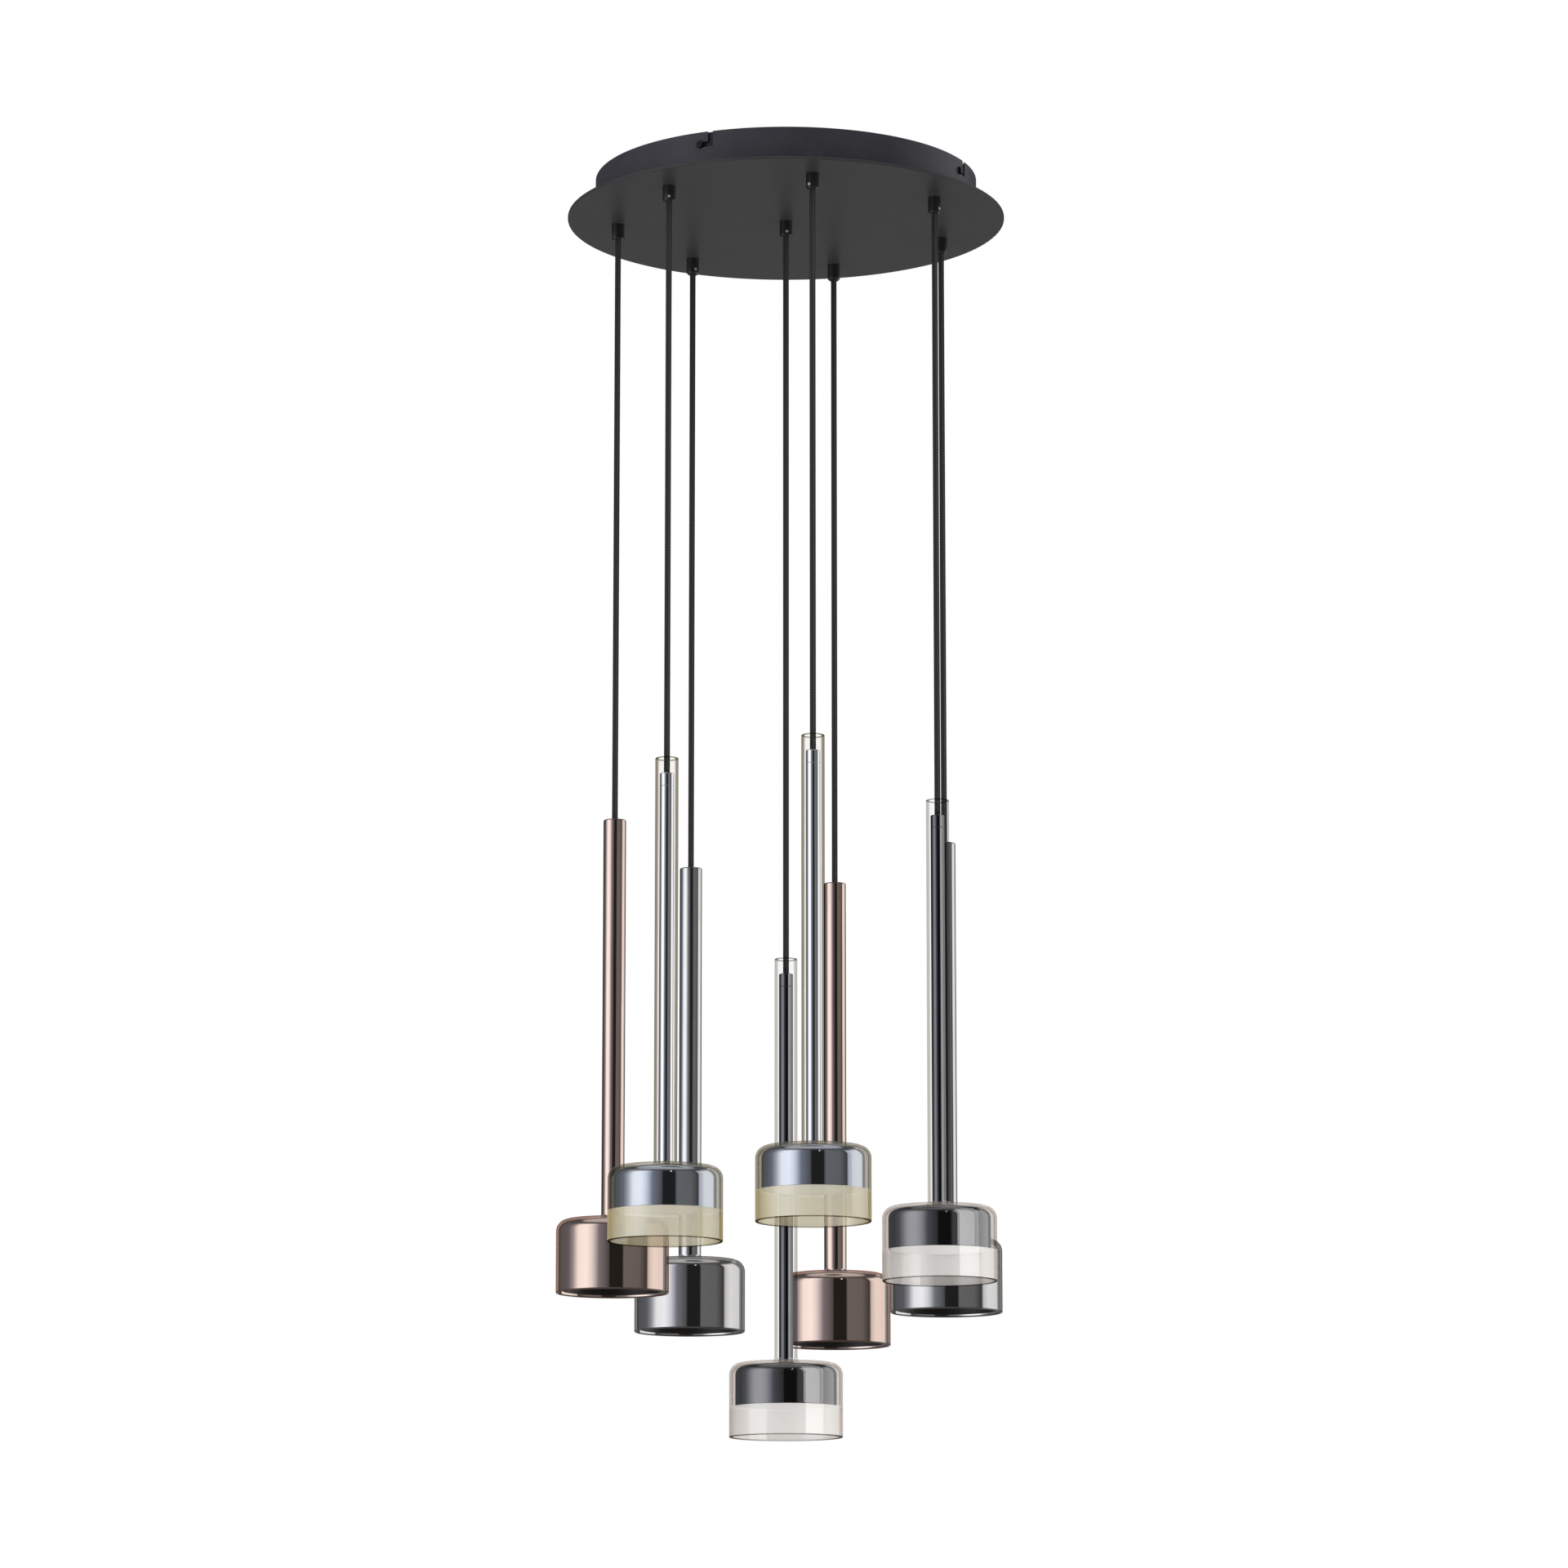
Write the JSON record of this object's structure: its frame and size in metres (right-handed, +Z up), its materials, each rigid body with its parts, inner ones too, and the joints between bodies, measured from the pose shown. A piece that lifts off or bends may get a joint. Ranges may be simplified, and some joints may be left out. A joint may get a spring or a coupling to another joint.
{
  "type": "cluster pendant",
  "caption": "Cluster pendant light: slim blown-glass tubes with drum-shaped shades hang on straight textile cords from a round canopy that locks onto its ceiling bracket with a bayonet.",
  "frame": {"origin": "middle of the ceiling bracket's face against the ceiling, on the canopy's axis", "axes": "+Z up, against the ceiling; the pendants hang towards -Z. +Y points away from the viewer of the picture and +X to their right"},
  "size_m": [0.455, 0.4535, 1.2912],
  "materials": {
    "bracket_steel": "black powder coat",
    "black_screws": "black zinc, semi-gloss",
    "canopy_black": "satin black powder coat",
    "grip_black": "black anodised, semi-gloss",
    "bright_steel": "bright",
    "black_textile": "braided",
    "hub_plastic": "matt",
    "driver_plastic": "matt",
    "earth_brass": "bright",
    "black_chrome": "black chrome mirror",
    "chrome": "chrome mirror",
    "smoke_chrome": "smoked chrome mirror",
    "copper_mirror_metal": "copper mirror",
    "board_white": "white solder resist",
    "opal": "opal, satin",
    "glass_clear": "clear, fire polished",
    "glass_champagne": "champagne tint, half mirrored",
    "glass_smoke": "smoke mirror coat",
    "glass_copper": "copper mirror coat"
  },
  "bodies": {
    "bracket": {"ceiling_bracket": "bracket_steel", "canopy_screws": "black_screws"},
    "canopy": {"canopy_pan": "canopy_black", "canopy_plate": "canopy_black", "cord_grips": "grip_black", "grub_screws": "bright_steel", "grip_nuts": "bright_steel", "cord_tails": "black_textile", "wiring_hub": "hub_plastic", "led_driver": "driver_plastic", "driver_screws": "bright_steel", "earth_post": "earth_brass"},
    "drop_1": {"cord_1": "black_textile"},
    "pendant_1": {"stem_1": "copper_mirror_metal", "cup_1": "copper_mirror_metal", "led_board_1": "board_white", "diffuser_1": "opal", "glass_1": "glass_copper"},
    "drop_2": {"cord_2": "black_textile"},
    "pendant_2": {"stem_2": "chrome", "cup_2": "chrome", "led_board_2": "board_white", "diffuser_2": "opal", "glass_2": "glass_champagne"},
    "drop_3": {"cord_3": "black_textile"},
    "pendant_3": {"stem_3": "smoke_chrome", "cup_3": "smoke_chrome", "led_board_3": "board_white", "diffuser_3": "opal", "glass_3": "glass_smoke"},
    "drop_4": {"cord_4": "black_textile"},
    "pendant_4": {"stem_4": "black_chrome", "cup_4": "black_chrome", "led_board_4": "board_white", "diffuser_4": "opal", "glass_4": "glass_clear"},
    "drop_5": {"cord_5": "black_textile"},
    "pendant_5": {"stem_5": "chrome", "cup_5": "chrome", "led_board_5": "board_white", "diffuser_5": "opal", "glass_5": "glass_champagne"},
    "drop_6": {"cord_6": "black_textile"},
    "pendant_6": {"stem_6": "copper_mirror_metal", "cup_6": "copper_mirror_metal", "led_board_6": "board_white", "diffuser_6": "opal", "glass_6": "glass_copper"},
    "drop_7": {"cord_7": "black_textile"},
    "pendant_7": {"stem_7": "black_chrome", "cup_7": "black_chrome", "led_board_7": "board_white", "diffuser_7": "opal", "glass_7": "glass_clear"},
    "drop_8": {"cord_8": "black_textile"},
    "pendant_8": {"stem_8": "smoke_chrome", "cup_8": "smoke_chrome", "led_board_8": "board_white", "diffuser_8": "opal", "glass_8": "glass_smoke"}
  },
  "joints": [
    {"name": "canopy_turn", "type": "hinge", "parent": "bracket", "child": "canopy", "pos_m": [0, 0, 0], "axis": [0, 0, 1], "range_deg": [-3.2, 0]},
    {"name": "swing_1", "type": "hinge", "parent": "canopy", "child": "drop_1", "pos_m": [-0.17355, 0.01248, -0.0592], "axis": [0.0717, 0.9974, 0], "range_deg": [-2, 6]},
    {"name": "height_1", "type": "slide", "parent": "drop_1", "child": "pendant_1", "axis": [0, 0, 1], "range_m": [0, 0.25], "deforming": ["cord_1"]},
    {"name": "swing_2", "type": "hinge", "parent": "canopy", "child": "drop_2", "pos_m": [-0.11797, -0.1279, -0.0592], "axis": [-0.7351, 0.678, 0], "range_deg": [-2, 6]},
    {"name": "height_2", "type": "slide", "parent": "drop_2", "child": "pendant_2", "axis": [0, 0, 1], "range_m": [0, 0.25], "deforming": ["cord_2"]},
    {"name": "swing_3", "type": "hinge", "parent": "canopy", "child": "drop_3", "pos_m": [-0.09845, 0.14347, -0.0592], "axis": [0.8245, 0.5658, 0], "range_deg": [-2, 6]},
    {"name": "height_3", "type": "slide", "parent": "drop_3", "child": "pendant_3", "axis": [0, 0, 1], "range_m": [0, 0.25], "deforming": ["cord_3"]},
    {"name": "swing_4", "type": "hinge", "parent": "canopy", "child": "drop_4", "pos_m": [0, 0, -0.0592], "axis": [1, 0, 0], "range_deg": [-2, 2]},
    {"name": "height_4", "type": "slide", "parent": "drop_4", "child": "pendant_4", "axis": [0, 0, 1], "range_m": [0, 0.25], "deforming": ["cord_4"]},
    {"name": "swing_5", "type": "hinge", "parent": "canopy", "child": "drop_5", "pos_m": [0.02645, -0.17198, -0.0592], "axis": [-0.9884, -0.152, 0], "range_deg": [-2, 6]},
    {"name": "height_5", "type": "slide", "parent": "drop_5", "child": "pendant_5", "axis": [0, 0, 1], "range_m": [0, 0.25], "deforming": ["cord_5"]},
    {"name": "swing_6", "type": "hinge", "parent": "canopy", "child": "drop_6", "pos_m": [0.05079, 0.16642, -0.0592], "axis": [0.9565, -0.2919, 0], "range_deg": [-2, 6]},
    {"name": "height_6", "type": "slide", "parent": "drop_6", "child": "pendant_6", "axis": [0, 0, 1], "range_m": [0, 0.25], "deforming": ["cord_6"]},
    {"name": "swing_7", "type": "hinge", "parent": "canopy", "child": "drop_7", "pos_m": [0.15095, -0.08655, -0.0592], "axis": [-0.4974, -0.8675, 0], "range_deg": [-2, 6]},
    {"name": "height_7", "type": "slide", "parent": "drop_7", "child": "pendant_7", "axis": [0, 0, 1], "range_m": [0, 0.25], "deforming": ["cord_7"]},
    {"name": "swing_8", "type": "hinge", "parent": "canopy", "child": "drop_8", "pos_m": [0.16178, 0.06405, -0.0592], "axis": [0.3681, -0.9298, 0], "range_deg": [-2, 6]},
    {"name": "height_8", "type": "slide", "parent": "drop_8", "child": "pendant_8", "axis": [0, 0, 1], "range_m": [0, 0.25], "deforming": ["cord_8"]}
  ]
}
